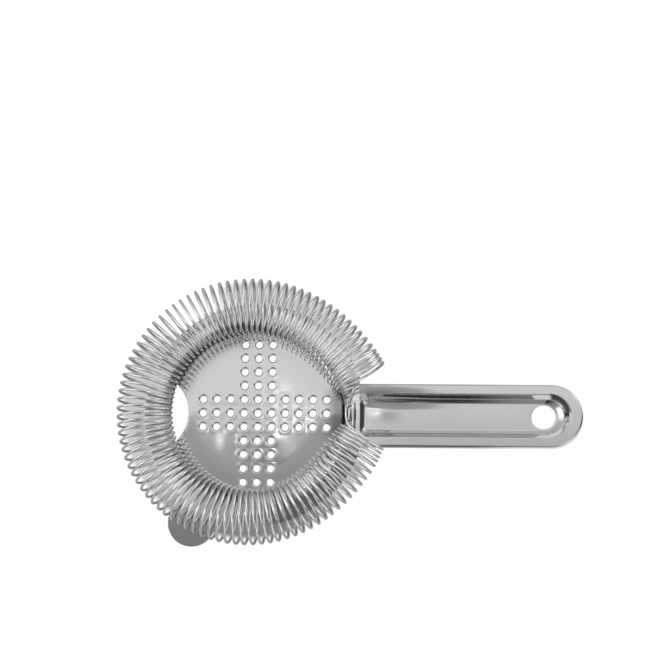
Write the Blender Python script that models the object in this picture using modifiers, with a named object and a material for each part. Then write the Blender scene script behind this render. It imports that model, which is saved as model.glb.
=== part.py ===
"""Hawthorne strainer: a perforated head plate, a channelled handle and one coil spring.

The strainer lies flat with its spring side up. Every piece is drawn about the head plate's centre, on
the back face of its flange, with +X to the handle's end. The finished strainer is then moved so that
the origin is the middle of its length, on the plane it lies on.
"""

import math

import bmesh
import bpy

MM = 0.001

# Sheet metal and the gap kept between neighbouring pieces.
SHEET = 0.9 * MM
GAP = 0.3 * MM

# Head plate: a flat flange around a raised pan, whose flat top falls a little near its shoulder.
FLANGE_RADIUS = 37.2 * MM
CREASE_RADIUS = 29.6 * MM
SHOULDER_RADIUS = 26.4 * MM
PAN_HEIGHT = 3.6 * MM
PAN_FLAT_RADIUS = 19.0 * MM
PAN_RIM_RADIUS = 22.5 * MM
PAN_RIM_FALL = 0.25 * MM
SHOULDER_FALL = 0.65 * MM
SHOULDER_ROUND = 1.1 * MM
EASED = 0.25
PLATE_SEGMENTS = 96

# Strain holes: a cross of three rows and three columns on one square pitch.
HOLE_PITCH = 4.6 * MM
HOLE_RADIUS = 1.3 * MM
HOLE_SEGMENTS = 12
CROSS_CENTRE_X = 1.4 * MM
ARM_COLUMNS = range(-4, 6)
ARM_ROWS = range(-5, 6)
CROSS_HALF_WIDTH = 1

# Crescent pouring slot at the front: where a small circle overlaps the pan's wall.
SLOT_OUTER_RADIUS = 29.0 * MM
SLOT_INNER_RADIUS = 13.0 * MM
SLOT_INNER_CENTRE_X = -34.9 * MM

# Round resting ear on the flange's edge.
EAR_RADIUS = 8.0 * MM
EAR_REACH = 41.7 * MM
EAR_ANGLE = math.radians(-119.5)

# Lug lanced from the flange to hold the spring's ends, and the slot it leaves.
LUG_X = 31.95 * MM
LUG_WIDTH = 4.2 * MM
LUG_TOP = 4.1 * MM
LUG_SLOT_LENGTH = 1.4 * MM

# Handle: a stamped channel with turned-down edges, lapped behind the flange.
HANDLE_START = 35.2 * MM
HANDLE_END = 109.1 * MM
HANDLE_HALF_WIDTH = 10.5 * MM
HANDLE_EDGE_ROUND = 1.4 * MM
SKIRT_BOTTOM = -2.9 * MM
FLOOR_TOP = -2.2 * MM
FLOOR_HALF_WIDTH = 4.5 * MM
LIP_HALF_WIDTH = 6.7 * MM
CHANNEL_START = 36.2 * MM
LIP_START = 35.1 * MM
LIP_ROUND_X = 98.5 * MM
HANG_HOLE_X = 95.9 * MM
HANG_HOLE_RADIUS = 4.0 * MM
TAB_START = 30.6 * MM
TAB_HALF_WIDTH = 9.0 * MM

# Coil spring: a close helix bent into a C around the pan, its ends hooked on the lug.
WIRE_RADIUS = 0.45 * MM
LOOP_RADIUS = 8.9 * MM
RING_RADIUS = 35.0 * MM
RING_CENTRE_X = -0.7 * MM
RING_END_ANGLE = math.radians(14.0)
FLARE_ANGLE = math.radians(80.0)
FLARE = 5.0 * MM
FLARE_POWER = 2.7
TURNS = 93
CLOSE_TURNS = 4
CLOSE_PITCH = 1.35 * MM
POINTS_PER_TURN = 12
LOOP_START_ANGLE = math.radians(240.0)
HOOK_GAP = 1.2 * MM
HOOK_LEVELS = (1.9 * MM, 3.1 * MM)
HOOK_TAIL = 4.4 * MM

RING_HEIGHT = SHEET + GAP + WIRE_RADIUS + LOOP_RADIUS
RING_REACH = RING_RADIUS + LOOP_RADIUS + WIRE_RADIUS - RING_CENTRE_X
MIDDLE_X = (HANDLE_END - RING_REACH) / 2
REST_HEIGHT = SHEET - FLOOR_TOP

parts = None
cutters = None


# ---------------------------------------------------------------- scene helpers

def clear_scene():
    for obj in list(bpy.data.objects):
        bpy.data.objects.remove(obj, do_unlink=True)


def new_collection(name):
    collection = bpy.data.collections.new(name)
    bpy.context.scene.collection.children.link(collection)
    return collection


def steel(name, colour, roughness):
    material = bpy.data.materials.new(name)
    material.use_nodes = True
    shader = material.node_tree.nodes["Principled BSDF"]
    shader.inputs["Base Color"].default_value = (*colour, 1.0)
    shader.inputs["Metallic"].default_value = 1.0
    shader.inputs["Roughness"].default_value = roughness
    return material


def add_object(name, mesh, collection):
    obj = bpy.data.objects.new(name, mesh)
    collection.objects.link(obj)
    return obj


def bmesh_object(name, bm, collection):
    bmesh.ops.recalc_face_normals(bm, faces=bm.faces)
    mesh = bpy.data.meshes.new(name)
    bm.to_mesh(mesh)
    bm.free()
    return add_object(name, mesh, collection)


def as_cutter(obj):
    obj.hide_render = True
    obj.display_type = "WIRE"
    return obj


def boolean(obj, other, operation):
    modifier = obj.modifiers.new(other.name, "BOOLEAN")
    modifier.operation = operation
    modifier.solver = "EXACT"
    modifier.object = other


def shade_round(obj):
    obj.data.shade_smooth()
    obj.data.set_sharp_from_angle(angle=math.radians(40))


# ---------------------------------------------------------------- outlines and prisms

def arc(centre_x, centre_y, radius, start, end, steps):
    """Points on an arc, both ends included."""
    points = []
    for i in range(steps + 1):
        angle = start + (end - start) * i / steps
        points.append((centre_x + radius * math.cos(angle), centre_y + radius * math.sin(angle)))
    return points


def prism(name, outline, low, high, collection):
    """A flat outline filled as a 2D curve and extruded from low to high."""
    curve = bpy.data.curves.new(name, "CURVE")
    curve.dimensions = "2D"
    curve.fill_mode = "BOTH"
    curve.extrude = (high - low) / 2
    spline = curve.splines.new("POLY")
    spline.points.add(len(outline) - 1)
    for point, (x, y) in zip(spline.points, outline):
        point.co = (x, y, 0.0, 1.0)
    spline.use_cyclic_u = True
    source = bpy.data.objects.new(name + "_outline", curve)
    source.location.z = (low + high) / 2
    collection.objects.link(source)
    bpy.context.view_layer.update()
    evaluated = source.evaluated_get(bpy.context.evaluated_depsgraph_get())
    mesh = bpy.data.meshes.new_from_object(evaluated)
    bm = bmesh.new()
    bm.from_mesh(mesh)
    bmesh.ops.remove_doubles(bm, verts=bm.verts, dist=0.001 * MM)
    bmesh.ops.dissolve_limit(bm, angle_limit=math.radians(1), verts=bm.verts, edges=bm.edges)
    bmesh.ops.transform(bm, matrix=source.matrix_world, verts=bm.verts)
    bpy.data.objects.remove(source, do_unlink=True)
    return bmesh_object(name, bm, collection)


def loft(name, lower, upper, low, high, collection):
    """A closed solid between two outlines that have the same number of points."""
    bm = bmesh.new()
    bottom = [bm.verts.new((x, y, low)) for x, y in lower]
    top = [bm.verts.new((x, y, high)) for x, y in upper]
    bm.faces.new(bottom)
    bm.faces.new(top)
    count = len(bottom)
    for i in range(count):
        j = (i + 1) % count
        bm.faces.new((bottom[i], bottom[j], top[j], top[i]))
    return bmesh_object(name, bm, collection)


def tray_outline(start, round_x, half_width, corner):
    """Rounded rectangle whose far end is a full half circle."""
    points = arc(start + corner, half_width - corner, corner, math.pi / 2, math.pi, 3)
    points += arc(start + corner, corner - half_width, corner, math.pi, 1.5 * math.pi, 3)
    points += arc(round_x, 0.0, half_width, -math.pi / 2, math.pi / 2, 14)
    return points


def box(name, x_range, y_range, z_range, collection):
    outline = [
        (x_range[0], y_range[0]),
        (x_range[1], y_range[0]),
        (x_range[1], y_range[1]),
        (x_range[0], y_range[1]),
    ]
    return prism(name, outline, z_range[0], z_range[1], collection)


# ---------------------------------------------------------------- head plate

def pan_profile():
    """Front face of the plate from the pan's flat top out to the flange's edge."""
    top = SHEET + PAN_HEIGHT
    shoulder = top - SHOULDER_FALL
    wall_run = CREASE_RADIUS - SHOULDER_RADIUS
    wall_length = math.hypot(wall_run, shoulder - SHEET)
    along_x = SHOULDER_ROUND * wall_run / wall_length
    along_z = SHOULDER_ROUND * (shoulder - SHEET) / wall_length
    return [
        (PAN_FLAT_RADIUS, top),
        (PAN_RIM_RADIUS, top - PAN_RIM_FALL),
        (SHOULDER_RADIUS - SHOULDER_ROUND, shoulder),
        (SHOULDER_RADIUS - EASED * SHOULDER_ROUND, shoulder - EASED * along_z),
        (SHOULDER_RADIUS + along_x, shoulder - along_z),
        (CREASE_RADIUS - along_x, SHEET + along_z),
        (CREASE_RADIUS + EASED * SHOULDER_ROUND, SHEET + EASED * along_z),
        (CREASE_RADIUS + SHOULDER_ROUND, SHEET),
        (FLANGE_RADIUS, SHEET),
    ]


def pressed_plate():
    """Round blank pressed into the pan: a capped ring, extruded outward along the profile."""
    profile = pan_profile()
    bm = bmesh.new()
    bmesh.ops.create_circle(bm, cap_ends=True, segments=PLATE_SEGMENTS, radius=profile[0][0])
    bmesh.ops.translate(bm, verts=bm.verts, vec=(0.0, 0.0, profile[0][1]))
    rim = [edge for edge in bm.edges if edge.is_boundary]
    for radius, height in profile[1:]:
        grown = bmesh.ops.extrude_edge_only(bm, edges=rim)["geom"]
        rim = [item for item in grown if isinstance(item, bmesh.types.BMEdge)]
        for vert in (item for item in grown if isinstance(item, bmesh.types.BMVert)):
            scale = radius / math.hypot(vert.co.x, vert.co.y)
            vert.co = (vert.co.x * scale, vert.co.y * scale, height)
    bmesh.ops.recalc_face_normals(bm, faces=bm.faces)
    if next(face for face in bm.faces if len(face.verts) == PLATE_SEGMENTS).normal.z < 0:
        bmesh.ops.reverse_faces(bm, faces=bm.faces)
    mesh = bpy.data.meshes.new("head_plate")
    bm.to_mesh(mesh)
    bm.free()
    plate = add_object("head_plate", mesh, parts)
    sheet = plate.modifiers.new("sheet", "SOLIDIFY")
    sheet.thickness = SHEET
    sheet.offset = -1.0
    sheet.use_even_offset = True
    return plate


def cross_positions():
    """Centres of the strain holes: every grid point that lies in either arm of the cross."""
    for column in ARM_COLUMNS:
        for row in ARM_ROWS:
            if abs(column) <= CROSS_HALF_WIDTH or abs(row) <= CROSS_HALF_WIDTH:
                yield CROSS_CENTRE_X + column * HOLE_PITCH, row * HOLE_PITCH


def hole_punch():
    """One punch for all strain holes."""
    bm = bmesh.new()
    for x, y in cross_positions():
        made = bmesh.ops.create_cone(
            bm,
            cap_ends=True,
            segments=HOLE_SEGMENTS,
            radius1=HOLE_RADIUS,
            radius2=HOLE_RADIUS,
            depth=3 * SHEET,
        )
        bmesh.ops.translate(bm, verts=made["verts"], vec=(x, y, PAN_HEIGHT + SHEET / 2))
    return as_cutter(bmesh_object("strain_hole_punch", bm, cutters))


def slot_punch():
    """Crescent between the wall circle and a smaller circle centred out at the front."""
    reach = -SLOT_INNER_CENTRE_X
    corner_x = (SLOT_OUTER_RADIUS**2 - SLOT_INNER_RADIUS**2 + reach**2) / (2 * reach)
    corner_y = math.sqrt(SLOT_OUTER_RADIUS**2 - corner_x**2)
    outer_half = math.atan2(corner_y, corner_x)
    inner_half = math.atan2(corner_y, reach - corner_x)
    outline = arc(0.0, 0.0, SLOT_OUTER_RADIUS, math.pi - outer_half, math.pi + outer_half, 12)
    outline += arc(SLOT_INNER_CENTRE_X, 0.0, SLOT_INNER_RADIUS, -inner_half, inner_half, 12)[1:-1]
    return as_cutter(prism("crescent_punch", outline, -SHEET, PAN_HEIGHT + 2 * SHEET, cutters))


def head_plate():
    plate = pressed_plate()
    ear = bmesh.new()
    bmesh.ops.create_cone(
        ear, cap_ends=True, segments=36, radius1=EAR_RADIUS, radius2=EAR_RADIUS, depth=SHEET
    )
    ear_x = EAR_REACH * math.cos(EAR_ANGLE)
    ear_y = EAR_REACH * math.sin(EAR_ANGLE)
    bmesh.ops.translate(ear, verts=ear.verts, vec=(ear_x, ear_y, SHEET / 2))
    boolean(plate, as_cutter(bmesh_object("ear_blank", ear, cutters)), "UNION")

    chord = HANDLE_START - GAP
    trim = box("neck_trim", (chord, 2 * chord), (-chord, chord), (-SHEET, 2 * SHEET), cutters)
    boolean(plate, as_cutter(trim), "DIFFERENCE")
    boolean(plate, hole_punch(), "DIFFERENCE")
    boolean(plate, slot_punch(), "DIFFERENCE")

    lug_face = LUG_X + SHEET / 2
    slot_start = lug_face + 0.1 * MM
    slot = box(
        "lug_slot_punch",
        (slot_start, slot_start + LUG_SLOT_LENGTH),
        (-LUG_WIDTH / 2, LUG_WIDTH / 2),
        (-SHEET, 2 * SHEET),
        cutters,
    )
    boolean(plate, as_cutter(slot), "DIFFERENCE")
    lug = box(
        "lug_tongue",
        (LUG_X - SHEET / 2, lug_face),
        (-LUG_WIDTH / 2, LUG_WIDTH / 2),
        (SHEET / 3, LUG_TOP),
        cutters,
    )
    rounding = lug.modifiers.new("rounded_top", "BEVEL")
    rounding.width = SHEET / 4
    rounding.segments = 2
    boolean(plate, as_cutter(lug), "UNION")
    return plate


# ---------------------------------------------------------------- handle

def handle_outline(inset):
    """Straight-sided handle with a full round end, inset evenly all round."""
    half = HANDLE_HALF_WIDTH - inset
    start = HANDLE_START + inset
    round_x = HANDLE_END - HANDLE_HALF_WIDTH
    return [(start, half), (start, -half)] + arc(round_x, 0.0, half, -math.pi / 2, math.pi / 2, 20)


def round_top_edges(obj, height, radius, segments):
    """Rounds the sides and the far end of a prism's top, leaving its square start."""
    bm = bmesh.new()
    bm.from_mesh(obj.data)
    start = min(vert.co.x for vert in bm.verts)
    rim = []
    for edge in bm.edges:
        on_top = all(abs(vert.co.z - height) < 0.01 * MM for vert in edge.verts)
        at_start = all(abs(vert.co.x - start) < 0.01 * MM for vert in edge.verts)
        if on_top and not at_start and len(edge.link_faces) == 2:
            if edge.calc_face_angle() > math.radians(45):
                rim.append(edge)
    bmesh.ops.bevel(bm, geom=rim, offset=radius, segments=segments, affect="EDGES", profile=0.5)
    bm.to_mesh(obj.data)
    bm.free()


def handle():
    """Skin with turned-down edges, plus the channel's floor and walls, plus the front tab."""
    wall_slope = (LIP_HALF_WIDTH - FLOOR_HALF_WIDTH) / (SHEET - FLOOR_TOP)
    wall_offset = SHEET * math.hypot(1.0, wall_slope)
    floor_bottom = FLOOR_TOP - SHEET
    core_top = SHEET / 3

    body = prism("handle", handle_outline(0.0), SKIRT_BOTTOM, SHEET, parts)
    round_top_edges(body, SHEET, HANDLE_EDGE_ROUND, 3)
    under = prism("underside_punch", handle_outline(SHEET), 2 * SKIRT_BOTTOM, 0.0, cutters)
    round_top_edges(under, 0.0, HANDLE_EDGE_ROUND - SHEET, 2)
    boolean(body, as_cutter(under), "DIFFERENCE")

    def back_of_wall(height):
        """Outline of the channel's back surface at a height."""
        rise = (height - FLOOR_TOP) / (SHEET - FLOOR_TOP)
        half = FLOOR_HALF_WIDTH + wall_slope * (height - FLOOR_TOP) + wall_offset
        start = CHANNEL_START + (LIP_START - CHANNEL_START) * rise - SHEET
        round_x = HANG_HOLE_X + (LIP_ROUND_X - HANG_HOLE_X) * rise
        return tray_outline(max(start, HANDLE_START + 0.05 * MM), round_x, half, 1.6 * MM)

    core = loft(
        "channel_core",
        back_of_wall(floor_bottom),
        back_of_wall(core_top),
        floor_bottom,
        core_top,
        cutters,
    )
    boolean(body, as_cutter(core), "UNION")

    tab = box(
        "front_tab",
        (TAB_START, HANDLE_START + 2 * SHEET),
        (-TAB_HALF_WIDTH, TAB_HALF_WIDTH),
        (-GAP - SHEET, -GAP),
        cutters,
    )
    boolean(body, as_cutter(tab), "UNION")

    above = 2 * SHEET
    rise = (above - FLOOR_TOP) / (SHEET - FLOOR_TOP)
    channel = loft(
        "channel_punch",
        tray_outline(CHANNEL_START, HANG_HOLE_X, FLOOR_HALF_WIDTH, 1.2 * MM),
        tray_outline(
            CHANNEL_START + (LIP_START - CHANNEL_START) * rise,
            HANG_HOLE_X + (LIP_ROUND_X - HANG_HOLE_X) * rise,
            FLOOR_HALF_WIDTH + (LIP_HALF_WIDTH - FLOOR_HALF_WIDTH) * rise,
            1.2 * MM,
        ),
        FLOOR_TOP,
        above,
        cutters,
    )
    boolean(body, as_cutter(channel), "DIFFERENCE")
    mouth = box(
        "channel_mouth",
        (HANDLE_START - SHEET, CHANNEL_START),
        (0.3 * MM - LIP_HALF_WIDTH, LIP_HALF_WIDTH - 0.3 * MM),
        (-GAP, 2 * SHEET),
        cutters,
    )
    boolean(body, as_cutter(mouth), "DIFFERENCE")

    punch = bmesh.new()
    bmesh.ops.create_cone(
        punch,
        cap_ends=True,
        segments=32,
        radius1=HANG_HOLE_RADIUS,
        radius2=HANG_HOLE_RADIUS,
        depth=4 * SHEET,
    )
    bmesh.ops.translate(punch, verts=punch.verts, vec=(HANG_HOLE_X, 0.0, FLOOR_TOP))
    boolean(body, as_cutter(bmesh_object("hang_hole_punch", punch, cutters)), "DIFFERENCE")
    return body


# ---------------------------------------------------------------- coil spring

def ring_point(angle):
    """Centreline of the bent spring: a circle that flares outward towards its two ends."""
    off_axis = min(angle, 2 * math.pi - angle)
    flare = max(0.0, (FLARE_ANGLE - off_axis) / (FLARE_ANGLE - RING_END_ANGLE))
    radius = RING_RADIUS + FLARE * flare**FLARE_POWER
    return RING_CENTRE_X + radius * math.cos(angle), radius * math.sin(angle)


def ring_table(steps=720):
    """Arc length along the centreline at evenly spaced angles."""
    span = 2 * (math.pi - RING_END_ANGLE)
    angles = [RING_END_ANGLE + span * i / steps for i in range(steps + 1)]
    lengths = [0.0]
    for before, after in zip(angles, angles[1:]):
        x0, y0 = ring_point(before)
        x1, y1 = ring_point(after)
        lengths.append(lengths[-1] + math.hypot(x1 - x0, y1 - y0))
    return angles, lengths


def angle_at(length, angles, lengths):
    """Angle on the centreline after a given arc length."""
    for i in range(1, len(lengths)):
        if lengths[i] >= length:
            part = (length - lengths[i - 1]) / (lengths[i] - lengths[i - 1])
            return angles[i - 1] + part * (angles[i] - angles[i - 1])
    return angles[-1]


def length_at_turn(turn, total):
    """Closely wound for the first and last turns, evenly open between."""
    close = CLOSE_TURNS * CLOSE_PITCH
    open_pitch = (total - 2 * close) / (TURNS - 2 * CLOSE_TURNS)
    if turn < CLOSE_TURNS:
        return turn * CLOSE_PITCH
    if turn > TURNS - CLOSE_TURNS:
        return total - (TURNS - turn) * CLOSE_PITCH
    return close + (turn - CLOSE_TURNS) * open_pitch


def helix_points():
    """The coil's wire. It starts and ends on the ring's inner side, below the middle."""
    angles, lengths = ring_table()
    total = lengths[-1]
    points = []
    for i in range(TURNS * POINTS_PER_TURN + 1):
        turn = i / POINTS_PER_TURN
        here = angle_at(length_at_turn(turn, total), angles, lengths)
        x, y = ring_point(here)
        x_ahead, y_ahead = ring_point(here + 0.001)
        x_behind, y_behind = ring_point(here - 0.001)
        heading = math.atan2(y_ahead - y_behind, x_ahead - x_behind)
        out_x = math.sin(heading)
        out_y = -math.cos(heading)
        roll = LOOP_START_ANGLE - 2 * math.pi * turn
        reach = LOOP_RADIUS * math.cos(roll)
        height = RING_HEIGHT + LOOP_RADIUS * math.sin(roll)
        points.append((x + reach * out_x, y + reach * out_y, height))
    return points


def hook_points(side, level):
    """Hairpin round the lug, from its free tail to where it turns up into the coil."""
    near = LUG_X - HOOK_GAP
    far = LUG_X + HOOK_GAP
    turn_y = -side * (LUG_WIDTH / 2 + 0.1 * MM)
    points = [(far, side * HOOK_TAIL, level), (far, 0.0, level)]
    start, end = (0.0, -math.pi) if side > 0 else (0.0, math.pi)
    points += [(x, y, level) for x, y in arc(LUG_X, turn_y, HOOK_GAP, start, end, 6)]
    points += [(near, 0.0, level), (near - 0.2 * MM, side * 3.2 * MM, level + 0.2 * MM)]
    return points


def coil_spring():
    points = hook_points(1, HOOK_LEVELS[0])
    points += helix_points()
    points += reversed(hook_points(-1, HOOK_LEVELS[1]))
    curve = bpy.data.curves.new("coil_spring", "CURVE")
    curve.dimensions = "3D"
    curve.bevel_depth = WIRE_RADIUS
    curve.bevel_resolution = 0
    curve.use_fill_caps = True
    spline = curve.splines.new("POLY")
    spline.points.add(len(points) - 1)
    for target, (x, y, z) in zip(spline.points, points):
        target.co = (x - RING_CENTRE_X, y, z, 1.0)
    return add_object("coil_spring", curve, parts)


# ---------------------------------------------------------------- assembly

def build():
    global parts, cutters
    clear_scene()
    parts = new_collection("hawthorne_strainer")
    cutters = new_collection("cutters")

    plate = head_plate()
    grip = handle()
    spring = coil_spring()
    spring.location = (RING_CENTRE_X, 0.0, 0.0)

    frame = bpy.data.objects.new("strainer_frame", None)
    frame.location = (-MIDDLE_X, 0.0, REST_HEIGHT)
    slide = bpy.data.objects.new("spring_slide", None)
    slide.parent = frame
    for empty in (frame, slide):
        parts.objects.link(empty)
    for obj in (plate, grip, *cutters.objects):
        obj.parent = frame
    spring.parent = slide

    plate.data.materials.append(steel("plate_steel", (0.62, 0.62, 0.61), 0.14))
    grip.data.materials.append(steel("handle_steel", (0.64, 0.64, 0.63), 0.16))
    spring.data.materials.append(steel("spring_steel", (0.68, 0.68, 0.67), 0.18))
    for obj in (plate, grip):
        shade_round(obj)


build()
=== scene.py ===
"""Hawthorne strainer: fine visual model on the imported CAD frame, with studio, floor and camera."""

import math

import bmesh
import bpy
import numpy as np
from mathutils import Matrix, Vector
from mathutils.geometry import delaunay_2d_cdt


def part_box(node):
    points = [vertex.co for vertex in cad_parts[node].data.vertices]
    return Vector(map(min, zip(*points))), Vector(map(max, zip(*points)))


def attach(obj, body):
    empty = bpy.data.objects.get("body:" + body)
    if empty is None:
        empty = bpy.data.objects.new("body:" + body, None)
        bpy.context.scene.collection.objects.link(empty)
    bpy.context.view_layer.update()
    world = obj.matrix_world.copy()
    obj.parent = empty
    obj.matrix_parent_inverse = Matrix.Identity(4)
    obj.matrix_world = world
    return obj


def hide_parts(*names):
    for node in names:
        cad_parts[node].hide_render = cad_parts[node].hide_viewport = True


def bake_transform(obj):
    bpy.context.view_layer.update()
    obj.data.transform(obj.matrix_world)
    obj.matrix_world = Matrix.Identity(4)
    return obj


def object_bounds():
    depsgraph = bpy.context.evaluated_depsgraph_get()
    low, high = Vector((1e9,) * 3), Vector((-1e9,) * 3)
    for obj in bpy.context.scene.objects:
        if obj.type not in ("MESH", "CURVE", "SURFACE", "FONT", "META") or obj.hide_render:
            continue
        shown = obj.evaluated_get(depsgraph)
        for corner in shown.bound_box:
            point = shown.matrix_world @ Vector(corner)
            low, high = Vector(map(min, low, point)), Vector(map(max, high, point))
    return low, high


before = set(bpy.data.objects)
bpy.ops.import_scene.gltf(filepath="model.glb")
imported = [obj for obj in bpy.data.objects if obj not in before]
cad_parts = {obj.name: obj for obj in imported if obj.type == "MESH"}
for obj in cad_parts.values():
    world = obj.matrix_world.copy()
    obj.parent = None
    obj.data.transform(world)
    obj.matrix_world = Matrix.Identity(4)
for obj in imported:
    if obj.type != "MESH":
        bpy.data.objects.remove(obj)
cad_low, cad_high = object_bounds()

MM = 0.001

# ---------------------------------------------------------------- dimensions, in millimetres
# Lengths are about the head plate's centre, on the back face of its flange.

SHEET = 0.9
SHEET_ROLL = 0.2
GAP = 0.3

FLANGE_RADIUS = 37.2
PAN_TOP = 4.5
SHOULDER_RADIUS = 26.1
WALL_START_RADIUS = 27.6
CREASE_RADIUS = 30.5
WALL_ANGLE = 52.0
DOME_ANGLE = 1.2
RIM_START = 18.5
RIM_END = 23.5
RIM_ANGLE = 4.0
# How far the pan's flat top is carried on to the lug, over what half-angle, and where that ends.
LUG_REACH = 4.2
LUG_SPREAD = 0.27
LUG_REACH_END = 29.0

HOLE_PITCH = 4.6
HOLE_RADIUS = 1.2
HOLE_ROLL = 0.5
HOLE_SIDES = 24
RIM_LIFT = 0.006
CROSS_CENTRE_X = 1.4
CROSS_COLUMNS = (-4, 5)
CROSS_ROWS = (-5, 5)
CROSS_HALF_WIDTH = 1
SLOT_LIFT = 0.05
SLOT_OUTER_RADIUS = 29.0
SLOT_INNER_RADIUS = 13.0
SLOT_INNER_X = -34.9
EAR_RADIUS = 8.0
EAR_REACH = 41.7
EAR_ANGLE = math.radians(-119.5)
CHORD_X = 34.9
LUG_X = 31.95
LUG_WIDTH = 4.2
LUG_TOP = 4.1
LUG_TURN = 0.31
LUG_SLOT_LENGTH = 1.4

HANDLE_END = 109.1
HANDLE_HALF_WIDTH = 10.5
EDGE_ROUND = 0.7
SKIRT_BOTTOM = -2.9
FLOOR_TOP = -2.2
HANG_HOLE_X = 95.9
HANG_HOLE_RADIUS = 4.0
HANG_HOLE_ROLL = 0.18
TAB_START = 30.6
TAB_HALF_WIDTH = 9.0
# The channel at its floor and at its lip: start, half width, centre of the round end, corner radius.
CHANNEL_FLOOR = (36.5, 4.25, 95.9, 1.2)
CHANNEL_LIP = (35.1, 7.4, 97.8, 2.4)

# Centre, reach along X and Y, and height of each gentle bend in the pressed sheets.
PLATE_WAVES = ((9.0, -6.0, 6.0, 5.0, 0.030), (-11.0, -9.0, 4.0, 7.0, 0.022))
HANDLE_WAVES = (
    (40.0, 6.8, 11.0, 1.3, -0.3),
    (47.0, 4.5, 9.0, 0.9, 0.22),
    (43.0, 1.8, 4.0, 2.2, 0.04),
)

CAD_WIRE_RADIUS = 0.45
WIRE_RADIUS = 0.445
LOOP_RADIUS = 8.9
RING_RADIUS = 34.95
RING_CENTRE_X = -0.7
# At the +Y end and the -Y end: where the coil stops, and how far and how fast it flares there.
RING_END_ANGLES = (math.radians(16.7), math.radians(11.5))
FLARES = (3.7, 3.8)
FLARE_POWERS = (2.7, 4.5)
FLARE_ANGLE = math.radians(80.0)
END_LOOP_TURNS = 6
END_LOOP_SHRINK = 1.1
TURNS = 93
CLOSE_TURNS = 4
CLOSE_PITCH = 1.35
COIL_DRIFT = 0.11
LOOP_START_ANGLE = math.radians(240.0)
HOOK_GAP = 1.2
HOOK_LEVELS = (1.9, 3.1)
HOOK_TAIL = 4.4
RING_HEIGHT = SHEET + GAP + CAD_WIRE_RADIUS + LOOP_RADIUS

handle_low, handle_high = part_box("handle")
ORIGIN = Vector((handle_high.x - HANDLE_END * MM, 0.0, handle_low.z + (SHEET - FLOOR_TOP) * MM))

# The photograph's viewing angle. The camera's distance is in m, its sensor and lens are in mm.
CAMERA_AZIMUTH = math.radians(38.94)
CAMERA_ELEVATION = math.radians(79.52)
CAMERA_ROLL = math.radians(-38.31)
CAMERA_DISTANCE = 0.9
CAMERA_SENSOR = 36.0
CAMERA_LENS = 150.05
CAMERA_TARGET = ORIGIN + Vector((21.98, 31.16, 0.0)) * MM
CAMERA_BACK = Vector(
    (
        math.sin(CAMERA_AZIMUTH) * math.cos(CAMERA_ELEVATION),
        -math.cos(CAMERA_AZIMUTH) * math.cos(CAMERA_ELEVATION),
        math.sin(CAMERA_ELEVATION),
    )
)
CAMERA_PLACE = CAMERA_TARGET + CAMERA_BACK * CAMERA_DISTANCE


# ---------------------------------------------------------------- mesh helpers

class Shell:
    """Collects vertices and faces with a normal for each face corner."""

    def __init__(self):
        self.points = []
        self.faces = []
        self.normals = []

    def add(self, point):
        self.points.append(tuple(point))
        return len(self.points) - 1

    def face(self, corners, normals):
        self.faces.append(tuple(corners))
        self.normals.extend(normals)

    def build(self, name):
        mesh = bpy.data.meshes.new(name)
        mesh.from_pydata([(x * MM, y * MM, z * MM) for x, y, z in self.points], [], self.faces)
        mesh.shade_smooth()
        mesh.normals_split_custom_set([Vector(n).normalized() for n in self.normals])
        mesh.update()
        return placed(mesh)


def placed(mesh):
    """Object of a mesh, with its origin at the head plate's centre."""
    obj = bpy.data.objects.new(mesh.name, mesh)
    bpy.context.collection.objects.link(obj)
    obj.location = ORIGIN
    return obj


def smooth(t):
    t = np.clip(t, 0.0, 1.0)
    return t * t * (3.0 - 2.0 * t)


def circle(x, y, radius, count, start=0.0, end=2 * math.pi, closed=True):
    steps = count if closed else count + 1
    angles = [start + (end - start) * i / count for i in range(steps)]
    return [(x + radius * math.cos(a), y + radius * math.sin(a)) for a in angles]


def triangulate(outline, loops, scattered, inside):
    """Constrained Delaunay triangles of an outline with inner loops, through scattered points."""
    points = []
    edges = []
    for loop in [outline] + loops:
        first = len(points)
        points.extend(loop)
        edges += [(first + i, first + (i + 1) % len(loop)) for i in range(len(loop))]
    points.extend(scattered)
    made = delaunay_2d_cdt([Vector(p) for p in points], edges, [], 0, 1e-6)
    verts = np.array([tuple(v) for v in made[0]])
    faces = np.array([f for f in made[2] if len(f) == 3])
    centres = verts[faces].mean(axis=1)
    faces = faces[inside(centres[:, 0], centres[:, 1])]
    a, b, c = (verts[faces[:, i]] for i in range(3))
    area = (b[:, 0] - a[:, 0]) * (c[:, 1] - a[:, 1]) - (c[:, 0] - a[:, 0]) * (b[:, 1] - a[:, 1])
    faces[area < 0] = faces[area < 0][:, ::-1]
    used, faces = np.unique(faces, return_inverse=True)
    return verts[used], faces.reshape(-1, 3)


def slopes(height, x, y, step=0.004):
    """Gradient of a height function."""
    dx = (height(x + step, y) - height(x - step, y)) / (2 * step)
    dy = (height(x, y + step) - height(x, y - step)) / (2 * step)
    return dx, dy


def upward(dx, dy):
    normals = np.stack([-dx, -dy, np.ones_like(dx)], axis=1)
    return normals / np.linalg.norm(normals, axis=1)[:, None]


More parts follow.
